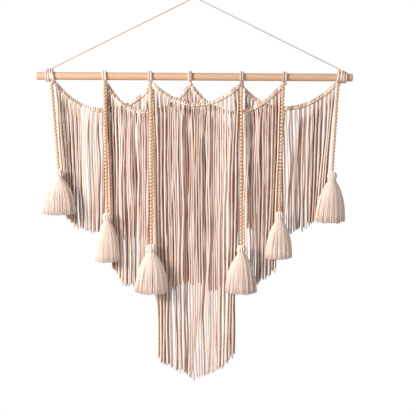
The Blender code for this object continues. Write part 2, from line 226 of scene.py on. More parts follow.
floor_paint = bpy.data.materials.new("pale floor")
floor_paint.use_nodes = True
floor_shader = floor_paint.node_tree.nodes["Principled BSDF"]
floor_shader.inputs["Base Color"].default_value = linear("#F1EFEC")
floor_shader.inputs["Roughness"].default_value = 0.8
rim = 2 * math.pi * np.arange(FLOOR_SIDES) / FLOOR_SIDES
floor_points = np.column_stack((FLOOR_RADIUS * np.cos(rim), FLOOR_RADIUS * np.sin(rim),
                                np.full(FLOOR_SIDES, -FLOOR_BELOW_NAIL)))
floor_mesh = build_mesh("floor", floor_points, [np.arange(FLOOR_SIDES)[None, :]])
floor_mesh.materials.append(floor_paint)
floor = bpy.data.objects.new("floor", floor_mesh)
bpy.context.scene.collection.objects.link(floor)
print("floor:", FLOOR_BELOW_NAIL, "mm under the nail")

# %% [markdown]
# ## The sizes shared with the solids
# These tables repeat the ones that the solids were made from: where the carrier cords are
# tied to the rod, how far each bow sags, and where its fringe is cut. Points could be read
# from the solids instead, but the same few numbers give finer and smoother lines, and the
# pieces still stay where the solids are.

# %% The rod, the hanging cord and the ties
ROD_LENGTH = 914.4
ROD_RADIUS = 11.1
ROD_ROUNDING = 2.5
ROD_BELOW_NAIL = 225.5
ROD_RIGHT_END_LOW = 5.2

HANGER_RADIUS = 2.0
HANGER_SLOPE = 0.4966           # fall of each arm for each mm along
HANGER_BEND = 4.5               # half width of the bend over the nail
HANGER_ENDS = (-412.39, 420.68)  # x where the arms go down into the end ties

# knot is how far a tie's knot reaches under the rod's axis
Tie = namedtuple("Tie", "x width knot tails")
TIES = (
    Tie(-417.8, 30.0, 24.0, ()),
    Tie(-260.9, 13.0, 24.0, ()),
    Tie(-128.8, 11.6, 36.0, ()),
    Tie(-13.3, 11.6, 28.0, (816, 823)),
    Tie(136.3, 11.6, 31.0, ()),
    Tie(260.5, 14.0, 22.5, ()),
    Tie(425.4, 33.0, 23.5, ()),
)


def rod_height(x):
    """Height of the rod's axis at x, under the nail."""
    return -ROD_BELOW_NAIL - x * ROD_RIGHT_END_LOW / ROD_LENGTH


print("ties:", len(TIES), "from", TIES[0].x, "to", TIES[-1].x, "mm")

# %% The bows and the tassels
LAYER_STEP = 11.2               # from one layer of bows to the next
MIDDLE_LAYER = 1.0              # depth of the middle layer
END_PULL = 0.07                 # share of a bow over which it leaves the rod's plane
CORD_STAGGER = 2.6              # cords lie this far in front of their layer or behind it

# ties: the two it hangs from; seats: how far its ends lie under the rod's axis; bare:
# carrier without knots at both ends; layer: -1 in front, 1 at the back; lean: how far the
# outermost cords move sideways; cuts: depths of the cut ends under the nail, left to right
Swag = namedtuple("Swag", "name ties seats bare sag fullness skew layer knots lean cuts")
SWAGS = (
    Swag("swag_outer_left", (1, 3), (17.7, 34.0), (4.0, 2.5), 71.3, 2.15, 0.02, 1, 22,
         (28.0, -9.0), (626, 662, 681, 696, 691)),
    Swag("swag_inner_left", (2, 4), (16.5, 26.5), (6.0, 2.5), 81.0, 2.3, 0.03, 0, 20,
         (16.0, -4.0), (765, 828, 843, 843, 817)),
    Swag("swag_centre", (3, 5), (18.0, 22.0), (4.5, 2.5), 61.5, 1.98, 0.0, -1, 20,
         (17.0, -17.0), (1037, 1068, 1098, 1073, 1031)),
    Swag("swag_inner_right", (4, 6), (22.5, 19.5), (2.5, 5.0), 80.5, 2.14, 0.03, 0, 21,
         (9.0, -17.0), (822, 843, 848, 821, 785)),
    Swag("swag_outer_right", (5, 7), (28.5, 16.0), (10.0, 5.0), 65.5, 2.15, 0.03, 1, 21,
         (9.0, -30.0), (666, 686, 681, 652, 605)),
)

# top_x: where its beads start; neck: bare string above them; x, top and front: the
# tassel's place; lean: how far its skirt moves sideways
Tassel = namedtuple("Tassel", "tie top_x neck x top front width length beads lean")
TASSELS = (
    Tassel(1, -412.9, 2, -391.0, 494, 14, 98, 105, 24, 0),
    Tassel(2, -259.9, 2, -251.0, 620, 20, 70, 114, 36, 1),
    Tassel(3, -126.0, 8, -123.1, 709, 30, 95, 116, 44, 0),
    Tassel(5, 135.2, 6, 134.6, 712, 30, 91, 113, 44, -2),
    Tassel(6, 256.0, 2, 244.2, 616, 20, 77, 110, 35, -3),
    Tassel(7, 413.5, 2, 396.2, 501, 14, 87, 121, 24, -7),
)

print("knots:", sum(swag.knots for swag in SWAGS), "beads:", sum(t.beads for t in TASSELS))

# %% [markdown]
# ## Twisted cord
# The real cord is three plies of cotton yarn twisted together, about 5 mm thick. It could
# be a smooth tube with a bump, but the twist shows in its outline and in every shadow,
# so it is modelled: a profile with three lobes is carried along a path. From ring to ring
# it turns by one of its points, so the edges of the mesh run along the plies, and few
# points are enough.

# %% Vectors and paths
LAY = 16.0                      # length of one full turn of the twist, six rings
PLIES = 3
GROOVE = 0.17                   # depth between plies, as a share of the radius
CORD_SIDES = 6                  # a ridge and a groove for each ply
# painted shade: the grooves between the plies are tinted darker by this
PLY_PAINTED_SHADE = 1.2                  # little light gets into a groove, so it is tinted darker


def unit(vectors):
    """Each vector divided by its own length."""
    return vectors / np.linalg.norm(vectors, axis=-1, keepdims=True)


def smooth_step(value):
    """0 below 0, 1 above 1, and 3 v*v - 2 v*v*v between."""
    value = np.clip(value, 0, 1)
    return value * value * (3 - 2 * value)


def arc_lengths(paths):
    """Distance along each path to each of its points."""
    steps = np.linalg.norm(np.diff(paths, axis=1), axis=2)
    return np.concatenate((np.zeros((len(paths), 1)), np.cumsum(steps, axis=1)), axis=1)


def frames_along(paths):
    """Two directions square to each point of each path.

    The first starts square to both the path and the view from the front, and is carried
    from point to point, less its part along the new tangent, so that the profile doesn't
    spin by itself.
    """
    tangents = unit(np.gradient(paths, axis=1))
    side = np.empty_like(tangents)
    carried = unit(np.cross(tangents[:, 0], (0.05, 0.998, 0.045)))
    for step in range(paths.shape[1]):
        along = tangents[:, step]
        carried = unit(carried - np.sum(carried * along, axis=1, keepdims=True) * along)
        side[:, step] = carried
    return side, np.cross(tangents, side)


print(f"cord: {PLIES} plies, one turn in {LAY} mm, {CORD_SIDES} points round")

# %% Faces and UV of tubes


def tube_faces(tubes, rings, sides):
    """Quads between the rings of several tubes, and a cap at each end of each tube."""
    start = np.arange(tubes)[:, None, None] * rings * sides
    row = np.arange(rings - 1)[None, :, None] * sides
    side = np.arange(sides)
    after = (side + 1) % sides
    corners = (row + side, row + after, row + sides + after, row + sides + side)
    quads = np.stack([start + corner for corner in corners], axis=-1).reshape(-1, 4)
    near = start[:, :, 0] + side[::-1]
    far = start[:, :, 0] + (rings - 1) * sides + side
    return [quads, near.reshape(-1, sides), far.reshape(-1, sides)]


def tube_uv(lengths, sides, girth):
    """UV in mm: u runs round the tube and v along it. lengths is one row for each tube."""
    u = np.arange(sides + 1) / sides * girth
    rings = lengths.shape[1]
    shape = (len(lengths), rings - 1, sides)
    left, right = u[None, None, :-1], u[None, None, 1:]
    upper, lower = lengths[:, :-1, None], lengths[:, 1:, None]
    corners = ((left, upper), (right, upper), (right, lower), (left, lower))
    quads = np.stack([np.stack([np.broadcast_to(a, shape), np.broadcast_to(b, shape)], -1)
                      for a, b in corners], axis=-2)
    caps = [np.stack(np.broadcast_arrays(u[None, :-1], lengths[:, [end]]), -1)
            for end in (0, rings - 1)]
    return np.concatenate([part.reshape(-1, 2) for part in (quads, *caps)])


print("one span of cord:", len(tube_faces(1, 2, CORD_SIDES)[0]), "faces and two caps")

# %% A profile with lobes, carried along many paths at once


def twisted_cord(paths, radius, twist=1.0, groove=GROOVE, sides=CORD_SIDES, turn=0.0, tint=0.5):
    """Points, faces, UV and tints of twisted cords whose paths have one count of points.

    A ring's radius at angle a is radius * (1 - groove / 2 * (1 - cos(plies * a))), and the
    ring is turned by twist points against the one before it. The tint follows the plies, with
    painted shade in the grooves: it is tint + the painted ply shade * groove * cos(plies * a).
    Radius, groove and tint may be one number, or one row for each path with a number for
    each ring. Tint may also be one number for each path.
    """
    lengths = arc_lengths(paths)
    side, up = frames_along(paths)
    angles = 2 * math.pi * np.arange(sides) / sides
    depth = np.asarray(groove)[..., None]
    ply = depth * np.cos(PLIES * angles)
    lobes = 1 - (depth - ply) / 2
    reach = np.broadcast_to(np.asarray(radius), lengths.shape)[..., None] * lobes
    step = twist * 2 * math.pi / sides
    turned = angles + step * np.arange(paths.shape[1])[:, None] + np.reshape(turn, (-1, 1, 1))
    points = (paths[:, :, None] + (reach * np.cos(turned))[..., None] * side[:, :, None]
              + (reach * np.sin(turned))[..., None] * up[:, :, None])
    tubes, rings = lengths.shape
    tint = np.asarray(tint)[:, None] if np.ndim(tint) == 1 else tint
    tints = np.broadcast_to(tint, lengths.shape)[..., None] + PLY_PAINTED_SHADE * ply
    uv = tube_uv(lengths, sides, 2 * math.pi * float(np.mean(radius)))
    return points.reshape(-1, 3), tube_faces(tubes, rings, sides), uv, tints.ravel()


def joined(parts):
    """Several (points, faces, uv, tints) sets as one, with the faces renumbered."""
    groups, first = [], 0
    for points, faces, _, _ in parts:
        groups += [group + first for group in faces]
        first += len(points)
    points, uv, tints = (np.concatenate([part[k] for part in parts]) for k in (0, 2, 3))
    return points, groups, uv, tints


straight = np.linspace((0.0, 0.0, 0.0), (0.0, 0.0, -LAY), 7)[None]
print("one turn of cord:", len(twisted_cord(straight, 2.5)[0]), "points")

# %% [markdown]
# ## Smooth paths
# A knot is easiest to describe by a few places that the cord passes. Blender's own curves
# could join them, but each would be an object of its own. Here one formula takes hundreds
# of paths at once: each span is a cubic with its end slopes taken from its neighbours, and
# the smooth path is then read off at even distances.

# %% Curves through chosen points


def curve_through(controls, per_span):
    """Points on a smooth curve through the control points of one or more paths.

    Each span is a cubic whose slope at a control point is half the step between that
    point's two neighbours.
    """
    first = 2 * controls[:, :1] - controls[:, 1:2]
    last = 2 * controls[:, -1:] - controls[:, -2:-1]
    padded = np.concatenate((first, controls, last), axis=1)[:, :, None]
    spans = padded.shape[1] - 3
    a, b, c, d = (padded[:, k:k + spans] for k in range(4))
    u = (np.arange(per_span) / per_span)[:, None]
    curve = 0.5 * (2 * b + (c - a) * u + (2 * a - 5 * b + 4 * c - d) * u ** 2
                   + (3 * b - a - 3 * c + d) * u ** 3)
    return np.concatenate((curve.reshape(len(controls), -1, 3), controls[:, -1:]), axis=1)


def at_stations(arc, values, stations):
    """Rows of values read off at distances along the arc."""
    return np.column_stack([np.interp(stations, arc, column) for column in values.T])


def read_off(paths, stations):
    """Points of each path at its own row of distances along it."""
    return np.stack([at_stations(arc, path, row)
                     for path, arc, row in zip(paths, arc_lengths(paths), stations)])


corner = np.array([[(0.0, 0.0, 0.0), (10.0, 0.0, 0.0), (10.0, 10.0, 0.0)]])
print("a 20 mm corner becomes a curve of",
      round(float(arc_lengths(curve_through(corner, 8))[0, -1]), 1), "mm")


# %% [markdown]
# ## Cotton, the material
# Natural cotton cord is unbleached and carded soft. It is warm cream to tan and has no
# gloss, and its fibres catch light at the edges, which sheen gives. Along the cord lie
# bundles of fibres about 0.3 mm wide. They are drawn 0.8 mm wide here, as bump, because
# finer lines wouldn't show. A picture of cloth could be laid on, but it would repeat and
# would not follow the cords. So each cord has its own tint, kept on its points, with painted
# shade between the plies and on cords behind their neighbours, and slow noise over 45 mm
# adds uneven yarn.

# %% Cotton
FIBRE_WIDTH = 0.8               # of a bundle, coarser than real so that it shows
FIBRE_LENGTH = 7.2              # after which a bundle gives way to the next
UNEVEN_YARN = 45.0              # size of the slow changes in tone


def cotton(name, shade, light):
    """Matt cotton: two tones mixed by tint + 0.4 * noise, with fibres along it as bump."""
    material = bpy.data.materials.new(name)
    material.use_nodes = True
    tree = material.node_tree
    shader = tree.nodes["Principled BSDF"]
    place = node(tree, "TexCoord")
    tint = node(tree, "Attribute", attribute_name="tint")
    tone = node(tree, "TexNoise", {"Vector": place.outputs["Object"],
                                   "Scale": 1 / (UNEVEN_YARN * MM), "Detail": 3.0,
                                   "Roughness": 0.6})
    both = node(tree, "Math", {0: tone.outputs["Fac"], 1: 0.4, 2: tint.outputs["Fac"]},
                operation="MULTIPLY_ADD")
    spread = node(tree, "MapRange", {"Value": both.outputs["Value"], "From Min": 0.1,
                                     "From Max": 1.25})
    mix = node(tree, "Mix", {0: spread.outputs["Result"], 6: linear(shade), 7: linear(light)},
               data_type="RGBA")
    tree.links.new(mix.outputs[2], shader.inputs["Base Color"])
    fibre_scale = (1 / (FIBRE_WIDTH * MM), 1 / (FIBRE_LENGTH * MM), 1.0)
    along = node(tree, "Mapping", {"Vector": place.outputs["UV"], "Scale": fibre_scale})
    fibres = node(tree, "TexNoise", {"Vector": along.outputs["Vector"], "Scale": 1.0,
                                     "Detail": 2.0, "Roughness": 0.55})
    bump = node(tree, "Bump", {"Height": fibres.outputs["Fac"], "Strength": 0.5,
                               "Distance": 0.0004})
    tree.links.new(bump.outputs["Normal"], shader.inputs["Normal"])
    shader.inputs["Roughness"].default_value = 0.92
    shader.inputs["IOR"].default_value = 1.53
    shader.inputs["Specular IOR Level"].default_value = 0.25
    shader.inputs["Sheen Weight"].default_value = 0.3
    shader.inputs["Sheen Roughness"].default_value = 0.6
    return material


# tan to cream; the tan end also gives the painted shade in the grooves and on cords behind
cord_cotton = cotton("natural cotton cord, three-ply twisted", "#965F3D", "#FFECE0")
# spun loosely, so light gets in and the yarn is pale and even
yarn_cotton = cotton("soft cotton yarn, loosely spun", "#E6CDBE", "#F7E8DF")
print("materials:", cord_cotton.name, "and", yarn_cotton.name)

# %% [markdown]
# ## The hanging cord
# One thin cord goes from an end tie up over the nail and down to the other end tie. The
# weight of the whole piece pulls it straight, so its route is two straight arms and a
# small bend. Two lines and an arc could be joined for that, but one formula, a hyperbola,
# gives all three without a joint. At each end it dives between two wraps of its tie.

# %% The route over the nail
HANGER_STEP = 1.5
TUCK_RADIUS = 9.0               # bend at each end, down between two wraps
TUCK_TURN = math.radians(62)


def hanger_height(x):
    """Height of the centre line: fall - slope * sqrt(x * x + bend * bend)."""
    fall = HANGER_SLOPE * HANGER_BEND + HANGER_RADIUS
    return fall - HANGER_SLOPE * np.sqrt(x * x + HANGER_BEND ** 2)


def tuck(side):
    """Points of an arc that bends down at an end, first point next to the arm."""
    end = HANGER_ENDS[0] if side < 0 else HANGER_ENDS[1]
    start = math.atan(HANGER_SLOPE)
    angle = start + np.linspace(0, TUCK_TURN, 8)[1:]
    x = end + side * TUCK_RADIUS * (np.sin(angle) - math.sin(start))
    z = hanger_height(end) - TUCK_RADIUS * (math.cos(start) - np.cos(angle))
    return np.column_stack((x, np.zeros(len(angle)), z))


def hanger_route():
    """The whole route, read off at even steps.

    The arms' x are sinh(t) for even t, scaled, which puts most points in the bend.
    """
    spread = np.sinh(np.linspace(-3.0, 3.0, 400)) / math.sinh(3.0)
    x = np.where(spread < 0, -HANGER_ENDS[0], HANGER_ENDS[1]) * spread
    arms = np.column_stack((x, np.zeros(len(x)), hanger_height(x)))
    whole = np.concatenate((tuck(-1)[::-1], arms, tuck(1)))
    arc = arc_lengths(whole[None])[0]
    return at_stations(arc, whole, np.linspace(0, arc[-1], int(arc[-1] / HANGER_STEP)))


# %% Make the hanging cord
route = hanger_route()
points, faces, uv, tints = twisted_cord(route[None], HANGER_RADIUS)
hanger = add_piece(build_mesh("hanging_cord", points, faces, uv, tints), cord_cotton,
                   ["hanger_cord"])

# %% [markdown]
# ## The bows and their fringe
# Each bow is a carrier cord with a row of lark's head knots. A lark's head is one cord
# folded in half: its middle lies across the front as a small bar, and each half goes back
# under the carrier, up behind it, over its top and down its front, behind the bar. One
# knot could be modelled and copied along the bow, with loose cords hung under it, but the
# joints would show. So each knot and its two fringe cords are one path here, from one cut
# end up round the carrier and down to the other, and a bow's paths are one array.

# %% The line of a bow
TIE_GAP = 0.3                   # between the tie and the bow's end


def swag_line(swag):
    """The carrier cord's centre line in fine steps: arc length, points and tangents.

    It sags by sag * (1 - |2u - 1| ** fullness), where u goes from 0 at the left end to 1
    and skew moves its lowest place. It leaves the rod's plane for its own layer over a
    smooth step at each end.
    """
    left, right = (TIES[number - 1] for number in swag.ties)
    u = np.linspace(0.0, 1.0, 801)
    x = np.interp(u, (0, 1), (left.x + left.width / 2 + TIE_GAP,
                              right.x - right.width / 2 - TIE_GAP))
    ends = (rod_height(left.x) - swag.seats[0], rod_height(right.x) - swag.seats[1])
    bow = 1 - np.abs(2 * (u + swag.skew * 4 * u * (1 - u)) - 1) ** swag.fullness
    z = np.interp(u, (0, 1), ends) - swag.sag * bow
    rise = smooth_step(np.minimum(u, 1 - u) / END_PULL)
    y = (MIDDLE_LAYER + LAYER_STEP * swag.layer) * (0.4 + 0.6 * rise)
    points = np.column_stack((x, y, z))
    arc = arc_lengths(points[None])[0]
    return arc, points, np.gradient(points, arc, axis=0)


for swag in SWAGS:
    print(swag.name, "carrier:", round(float(swag_line(swag)[0][-1])), "mm")

# %% The path of a lark's head knot
# One half of the knot where the carrier runs level, from the middle of the front bar,
# under the carrier to its back, up and over it, and down behind the bar to where the cord
# leaves. Columns: along the carrier, up, and towards the front, in mm.
HALF_KNOT = np.array((
    (0.0, -3.2, 6.1),
    (2.6, -3.2, 5.9),
    (4.8, -3.5, 4.4),
    (5.6, -4.2, 1.8),
    (5.2, -4.4, -1.2),
    (4.5, -3.0, -3.7),
    (3.9, 0.6, -4.3),
    (3.4, 3.2, -2.7),
    (3.2, 3.85, 0.2),
    (3.1, 2.8, 2.9),
    (2.9, 0.5, 3.9),
    (2.5, -2.4, 3.3),
    (2.2, -5.6, 2.0),
    (2.1, -9.0, 1.2),
))
KNOT_PITCH = 12.4               # knot to knot, for the table above
KNOT_HALF = 6.8                 # half height of the knotted bar where it runs level
BAR_STEEP = 0.62                # least share of that in the solid's bar, where it is steep
KNOT_CORD = 3.1                 # radius of the cord in a knot
LEG_CORD = 2.3                  # radius where a cord leaves its knot, drawn tight
FRINGE_CORD = 2.8               # radius of the hanging cord
RING_STEP = LAY / 6             # ring to ring, a sixth of a turn
KNOT_STEP = 1.7                 # closer rings for the knot's tight bends
KNOT_UNEVEN = 0.07              # a knot is up to this share larger or smaller along each axis
KNOT_TILT = 0.12                # and leans along the carrier by up to this for each mm up


def knot_controls(swag, rng):
    """World places of every knot's control points, from left strand to right strand.

    A knot's own up lies half way between the square to the carrier and the upright,
    because the hanging cords pull it upright. Where the carrier falls steeply, the knot
    hangs lower by half height * (1 - cosine of the fall), which keeps its top edge on the
    edge of the solid's thinner bar.
    """
    arc, points, tangents = swag_line(swag)
    ends = (swag.bare[0], arc[-1] - swag.bare[1])
    knotted = np.linspace(*ends, 2 * swag.knots + 1)[1::2]
    middle = at_stations(arc, points, knotted)
    along = unit(at_stations(arc, tangents, knotted))
    cosine = np.maximum(along[:, 0], BAR_STEEP)[:, None]
    up = unit(np.column_stack((-along[:, 2], np.zeros(len(along)), along[:, 0] + 1.0)))
    front = np.array((0.0, -1.0, 0.0))
    left_half = HALF_KNOT[::-1] * (-1, 1, 1)
    whole = np.concatenate((left_half, HALF_KNOT[1:]))
    uneven = 1 + rng.uniform(-KNOT_UNEVEN, KNOT_UNEVEN, (len(middle), 1, 3))
    tilt = rng.uniform(-KNOT_TILT, KNOT_TILT, (len(middle), 1))
    local = whole[None] * uneven
    height = local[..., 1] - KNOT_HALF * (1 - cosine)
    lengthwise = local[..., 0] * (knotted[1] - knotted[0]) / KNOT_PITCH + tilt * height
    return (middle[:, None] + lengthwise[..., None] * along[:, None]
            + height[..., None] * up[:, None] + local[..., 2:] * front)


half_length = float(arc_lengths(HALF_KNOT[None])[0, -1])
print("one knot takes", round(2 * half_length), "mm of cord")

# %% Where each fringe cord hangs
SETTLE = 45.0                   # depth under the knot at which a cord hangs in its own place
EVEN_PITCH = 7.2                # spacing of cords that leaves room to wander
CLOSE_PITCH = 5.6               # cords closer than this lie in front and behind in turn
IN_FRONT = 0.62                 # share of the others that lie in front
PARTED = 1.0                    # each of a knot's two cords moves this far outwards
LEAST_ROOM = 0.3                # share of its waves and drift that the closest cord keeps
OWN_WAVES = 0.35                # a cord's own waves against those that neighbours share
TIPS_BELOW = 4.0                # the yarn tips reach this far below a cut
UNEVEN_CUT = 4.0                # how much the cuts vary
STRAY_SHARE = 0.12              # share of cords that drift further than the others
STRAY = 2.4                     # how much further


def fringe_depths(swag, count):
    """Height of the cut end of each cord, read off the table of cuts."""
    share = (np.arange(count) + 0.5) / count
    return -np.interp(share, np.linspace(0, 1, len(swag.cuts)), swag.cuts)


def slow_waves(depth, count, rng, sizes=((1.5, 310.0), (0.9, 170.0), (0.45, 83.0))):
    """A sum of sines down each cord, with the sizes and wave lengths given in mm."""
    return sum(size * np.sin(2 * math.pi * (depth / length + rng.uniform(0, 1, (count, 1))))
               for size, length in sizes)


def shared_waves(depth, count, rng, sizes=((1.8, 430.0, 15.0), (0.9, 260.0, 8.0),
                                           (0.5, 150.0, 4.0))):
    """Waves that neighbours share: the phase moves on by one turn in some number of cords.

    Columns of sizes: height of the wave, its length down a cord, and that number of cords.
    """
    number = np.arange(count)[:, None] + np.cumsum(rng.normal(0, 0.3, (count, 1)), axis=0)
    return sum(size * np.sin(2 * math.pi * (depth / length + number / across + rng.uniform()))
               for size, length, across in sizes)


def hanging_paths(swag, exits, rng, steps):
    """Each cord from its knot down to its cut end, as a function of cord and height.

    x is the exit's x, plus the lean for the cord's share of the bow, plus slow waves and a
    drift that grows with depth ** 1.5, both less where the cords hang close. y moves from
    the knot's front to the cord's place in the layer: in front and behind in turn where
    cords are close, and by chance where they have room. The last result is that place,
    from -1 in front to 1 behind.
    """
    count = len(exits)
    number = np.arange(count)
    share = (number + 0.5) / count
    uneven = np.clip(rng.normal(0, UNEVEN_CUT, count), -7, 9)
    ends = fringe_depths(swag, count) + TIPS_BELOW + uneven
    lean = (swag.lean[0] * np.clip(1 - 2 * share, 0, 1) ** 1.15
            + swag.lean[1] * np.clip(2 * share - 1, 0, 1) ** 1.15)
    down = np.linspace(0, 1, steps)
    z = exits[:, 2:] + (ends[:, None] - exits[:, 2:]) * down
    depth = exits[:, 2:] - z
    settled = smooth_step(depth / SETTLE)
    part = np.where(number % 2 == 0, -1, 1)[:, None]
    straight = exits[:, :1] + part * PARTED * settled + lean[:, None] * down
    spacing = np.gradient(straight, axis=0)
    room = np.clip(spacing / EVEN_PITCH, LEAST_ROOM, 1.0)
    waves = shared_waves(depth, count, rng) + OWN_WAVES * slow_waves(depth, count, rng)
    stray = np.where(rng.uniform(0, 1, (count, 1)) < STRAY_SHARE, STRAY, 1.0)
    drift = rng.normal(0.0, 1.0, (count, 1)) * stray * down ** 1.5
    x = straight + room * (waves * settled + drift)
    chance = np.where(rng.uniform(0, 1, (count, 1)) < IN_FRONT, -1, 1)
    chance = chance * rng.uniform(0.6, 1.0, (count, 1))
    place = part + (chance - part) * smooth_step((spacing - CLOSE_PITCH) / 0.8)
    home = MIDDLE_LAYER + LAYER_STEP * swag.layer + place * (CORD_STAGGER + 0.15)
    y = exits[:, 1:2] * (1 - settled) + home * settled
    return np.stack((x, y, z), axis=-1), place * settled


for swag in SWAGS:
    depths = -fringe_depths(swag, 2 * swag.knots)
    print(f"{swag.name}: {len(depths)} cords, cut {min(depths):.0f} to {max(depths):.0f} mm down")

# %% Whole cords: hanging part, knot, hanging part


def round_off(paths, steps, knot_points, reach=5):
    """Ease the bends where a cord leaves its knot.

    Near each, a point becomes (the one before + 2 * itself + the one after) / 4, six times.
    """
    eased = paths.copy()
    for joint in (steps, steps + knot_points):
        for _ in range(6):
            span = slice(joint - reach, joint + reach)
            before = slice(joint - reach - 1, joint + reach - 1)
            behind = slice(joint - reach + 1, joint + reach + 1)
            eased[:, span] = (eased[:, before] + 2 * eased[:, span] + eased[:, behind]) / 4
    return eased


def swag_cords(swag, rng):
    """Paths, radii, distances from the cut end, and places in the layer of a bow's cords.

    All have one count of rings. The radius goes from the hanging cord's to the tight one
    where it leaves the knot, and to the knot's own. Places are -1 inside the knots, because
    no cord hides them.
    """
    knot = curve_through(knot_controls(swag, rng), 8)
    exits = np.stack((knot[:, 0], knot[:, -1]), axis=1).reshape(-1, 3)
    longest = np.max(exits[:, 2] - fringe_depths(swag, len(exits)))
    steps = int(math.ceil(longest / RING_STEP)) + 1
    drop = np.array((0.0, 0.0, -4.5))
    hanging, place = hanging_paths(swag, exits + drop, rng, steps)
    left, right = hanging[0::2], hanging[1::2]
    whole = np.concatenate((left[:, ::-1], knot, right), axis=1)
    whole = round_off(whole, steps, knot.shape[1])
    left_length = arc_lengths(left)[:, -1]
    right_length = arc_lengths(right)[:, -1]
    total = arc_lengths(whole)[:, -1]
    knot_rings = int(np.mean(total - left_length - right_length) / KNOT_STEP)
    stations = np.stack([
        np.concatenate((np.linspace(0, a, steps), np.linspace(a, t - b, knot_rings + 2)[1:-1],
                        np.linspace(t - b, t, steps)))
        for a, b, t in zip(left_length, right_length, total)
    ])
    paths = read_off(whole, stations)
    from_end = np.minimum(stations, total[:, None] - stations)
    hung = np.minimum(left_length, right_length)[:, None]
    # a cord narrows from 28 to 4 mm under its knot, and widens from 3 to 10 mm into it
    leaving = smooth_step((from_end - (hung - 28.0)) / 24.0)
    knotted = smooth_step((from_end - (hung + 3.0)) / 7.0)
    radii = (FRINGE_CORD + (LEG_CORD - FRINGE_CORD) * leaving
             + (KNOT_CORD - LEG_CORD) * knotted)
    inside = np.full((len(paths), knot_rings), -1.0)
    places = np.concatenate((place[0::2, ::-1], inside, place[1::2]), axis=1)
    return paths, radii, from_end, places


sample = swag_cords(SWAGS[2], np.random.default_rng(1))[0]
print(f"{SWAGS[2].name}: cords of {arc_lengths(sample)[:, -1].min() / 1000:.2f} to "
      f"{arc_lengths(sample)[:, -1].max() / 1000:.2f} m, {sample.shape[1]} rings each")

# %% [markdown]
# ## Frayed ends
# Where the cord is cut, its plies come apart into loose yarn within a few millimetres. Hair
# could do that, but a handful of thin curved tips at each end shows as much from a step
# away, and stays one mesh with the cord.

# %% Yarn tips at the cut ends
TIPS = 7
TIP_RINGS = 5
TIP_RADIUS = 0.75
TIP_LENGTH = 7.0


def yarn_tips(ends, tints, rng):
    """Thin three-sided tips that fan out below each cut end.

    Tip k starts at angle 2 pi k / tips on a small circle inside the cord, the last one in
    the middle. At a share t of its length it has gone down by length * t and outwards by
    spread * t * t, and its radius has shrunk to 0.45 of its first one.
    """
    count = len(ends)
    angle = 2 * math.pi * np.arange(TIPS) / (TIPS - 1) + rng.uniform(0, 6.3, (count, 1))
    ring = np.where(np.arange(TIPS) < TIPS - 1, 1.75, 0.0)
    t = np.linspace(0, 1, TIP_RINGS)
    length = TIP_LENGTH * rng.uniform(0.55, 1.25, (count, TIPS, 1))
    reach = ring[:, None] + rng.uniform(-0.6, 2.4, (count, TIPS, 1)) * t ** 2
    x = ends[:, None, None, 0] + reach * np.cos(angle)[..., None]
    y = ends[:, None, None, 1] + 0.8 * reach * np.sin(angle)[..., None]
    z = ends[:, None, None, 2] + 2.0 - length * t
    paths = np.stack(np.broadcast_arrays(x, y, z), axis=-1).reshape(-1, TIP_RINGS, 3)
    radius = TIP_RADIUS * (1 - 0.55 * t)
    return twisted_cord(paths, radius, twist=0.0, groove=0.0, sides=3,
                        tint=np.repeat(tints, TIPS) + 0.15)


print(f"yarn tips: {TIPS} at each cut end, {TIP_LENGTH} mm long")

# %% [markdown]
# ## Carrier cords, and each bow as a whole
# The carrier is the cord that the knots sit on, and it shows only between them. It could
# be left out, but then the gaps between the knots would look empty from above and behind.
# Cords behind their neighbours get painted shade, a darker tint, because the light doesn't
# reach them well, and the depth of the fringe is read by that.

# %% Make the five bows
CARRIER_RADIUS = 2.3
CARRIER_REACH = 5.0             # how far a carrier goes into the knot of its tie


def carrier_cord(swag):
    """The cord that the knots sit on, with a short lead into the tie at each end."""
    arc, points, _ = swag_line(swag)
    leads = [np.array((side * CARRIER_REACH, 0.0, 1.0)) for side in (-1, 1)]
    whole = np.concatenate(([points[0] + leads[0]], points, [points[-1] + leads[1]]))
    arc = arc_lengths(whole[None])[0]
    stations = np.linspace(0, arc[-1], int(arc[-1] / RING_STEP))
    return twisted_cord(at_stations(arc, whole, stations)[None], CARRIER_RADIUS)


# painted shade on the cords that hang behind their neighbours
BEHIND_PAINTED_SHADE = 0.42              # how much darker the cords behind are


def cut_cords(paths, radii, from_end, rng, places=0.0):
    """Twisted cords that flare where they are cut, and the tint of each.

    Over the last 9 mm the grooves deepen by 0.25, and over the last 8 mm the radius grows
    by 0.08 of itself. Each cord has its own tint, with painted shade taken off it where it
    hangs behind its neighbours.
    """
    groove = GROOVE + 0.25 * (1 - smooth_step(from_end / 9.0))
    flare = 1 + 0.08 * (1 - smooth_step(from_end / 8.0))
    turn = rng.uniform(0, 2 * math.pi, len(paths))
    tint = rng.uniform(0.35, 1.1, len(paths))
    shaded = tint[:, None] - BEHIND_PAINTED_SHADE / 2 * (1 + places) * np.ones(from_end.shape)
    return twisted_cord(paths, radii * flare, groove=groove, turn=turn, tint=shaded), tint


def make_swag(swag):
    """One bow: its carrier cord, its knots and its fringe, as one mesh."""
    rng = np.random.default_rng(101 + swag.ties[0])
    paths, radii, from_end, places = swag_cords(swag, rng)
    cords, tint = cut_cords(paths, radii, from_end, rng, places)
    ends = np.concatenate((paths[:, 0], paths[:, -1]))
    tips = yarn_tips(ends, np.tile(tint, 2), rng)
    whole = joined([cords, carrier_cord(swag), tips])
    add_piece(build_mesh(swag.name + "_cords", *whole), cord_cotton, [swag.name])


for swag in SWAGS:
    make_swag(swag)

# %% [markdown]
# ## The rod
# The rod is a plain beech dowel, sanded but not varnished, with its sawn ends eased. A
# cylinder with a bevel would do, but a profile carried along the axis gives both ends
# their rounding and the rod its small tilt in one go.

# %% The dowel's surface
ROD_SIDES = 64


